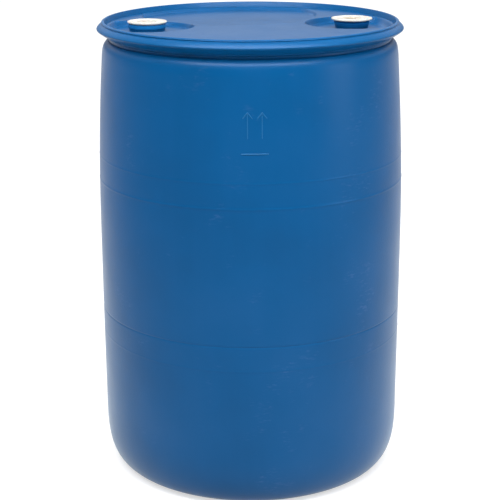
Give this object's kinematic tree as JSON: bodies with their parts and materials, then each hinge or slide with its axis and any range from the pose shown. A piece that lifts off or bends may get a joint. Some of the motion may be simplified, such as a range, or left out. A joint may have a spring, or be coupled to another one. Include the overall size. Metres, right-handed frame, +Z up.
{
  "type": "closed head plastic drum",
  "caption": "Tall blue blow-moulded closed-head drum with a handling ring round the top and two threaded bungs in recessed wells; one bung holds a smaller centre plug.",
  "frame": {"origin": "middle of the base, on the surface that the drum stands on", "axes": "+Z up along the drum's axis; +X towards the bung that holds the small plug; +Y towards the low side of the head"},
  "size_m": [0.5942, 0.5942, 0.89],
  "materials": {
    "drum_blue": "satin blow-moulded high-density polyethylene, blue",
    "ring_blue": "satin moulded polyethylene, blue",
    "neck_blue": "satin moulded polyethylene, blue",
    "gasket_rubber": "pale rubber washer",
    "plug_white": "satin white moulded plastic",
    "small_plug_white": "satin cream moulded plastic"
  },
  "bodies": {
    "drum": {"drum_shell": "drum_blue", "handling_ring": "ring_blue", "neck_insert_left": "neck_blue", "neck_insert_right": "neck_blue"},
    "left_gasket": {"gasket_left": "gasket_rubber"},
    "left_plug": {"plug_left": "plug_white"},
    "right_gasket": {"gasket_right": "gasket_rubber"},
    "right_plug": {"plug_right": "plug_white"},
    "small_gasket": {"gasket_small": "gasket_rubber"},
    "small_plug": {"plug_small": "small_plug_white"}
  },
  "joints": [
    {"name": "left_plug_lift", "type": "slide", "parent": "drum", "child": "left_gasket", "axis": [0, 0, 1], "range_m": [0, 0.0128]},
    {"name": "left_plug_turn", "type": "hinge", "parent": "left_gasket", "child": "left_plug", "pos_m": [-0.197, 0, 0.8844], "axis": [0, 0, 1], "range_deg": [0, 2070]},
    {"name": "right_plug_lift", "type": "slide", "parent": "drum", "child": "right_gasket", "axis": [0, 0, 1], "range_m": [0, 0.0131]},
    {"name": "right_plug_turn", "type": "hinge", "parent": "right_gasket", "child": "right_plug", "pos_m": [0.197, 0, 0.8844], "axis": [0, 0, 1], "range_deg": [0, 1170]},
    {"name": "small_plug_lift", "type": "slide", "parent": "right_plug", "child": "small_gasket", "axis": [0, 0, 1], "range_m": [0, 0.00872]},
    {"name": "small_plug_turn", "type": "hinge", "parent": "small_gasket", "child": "small_plug", "pos_m": [0.197, 0, 0.8844], "axis": [0, 0, 1], "range_deg": [0, 1710]}
  ],
  "couplings": [
    {"joint": "left_plug_lift", "follows": "left_plug_turn", "m_per_rad": 0.00035152},
    {"joint": "right_plug_lift", "follows": "right_plug_turn", "m_per_rad": 0.00063662},
    {"joint": "small_plug_lift", "follows": "small_plug_turn", "m_per_rad": 0.00028875}
  ]
}
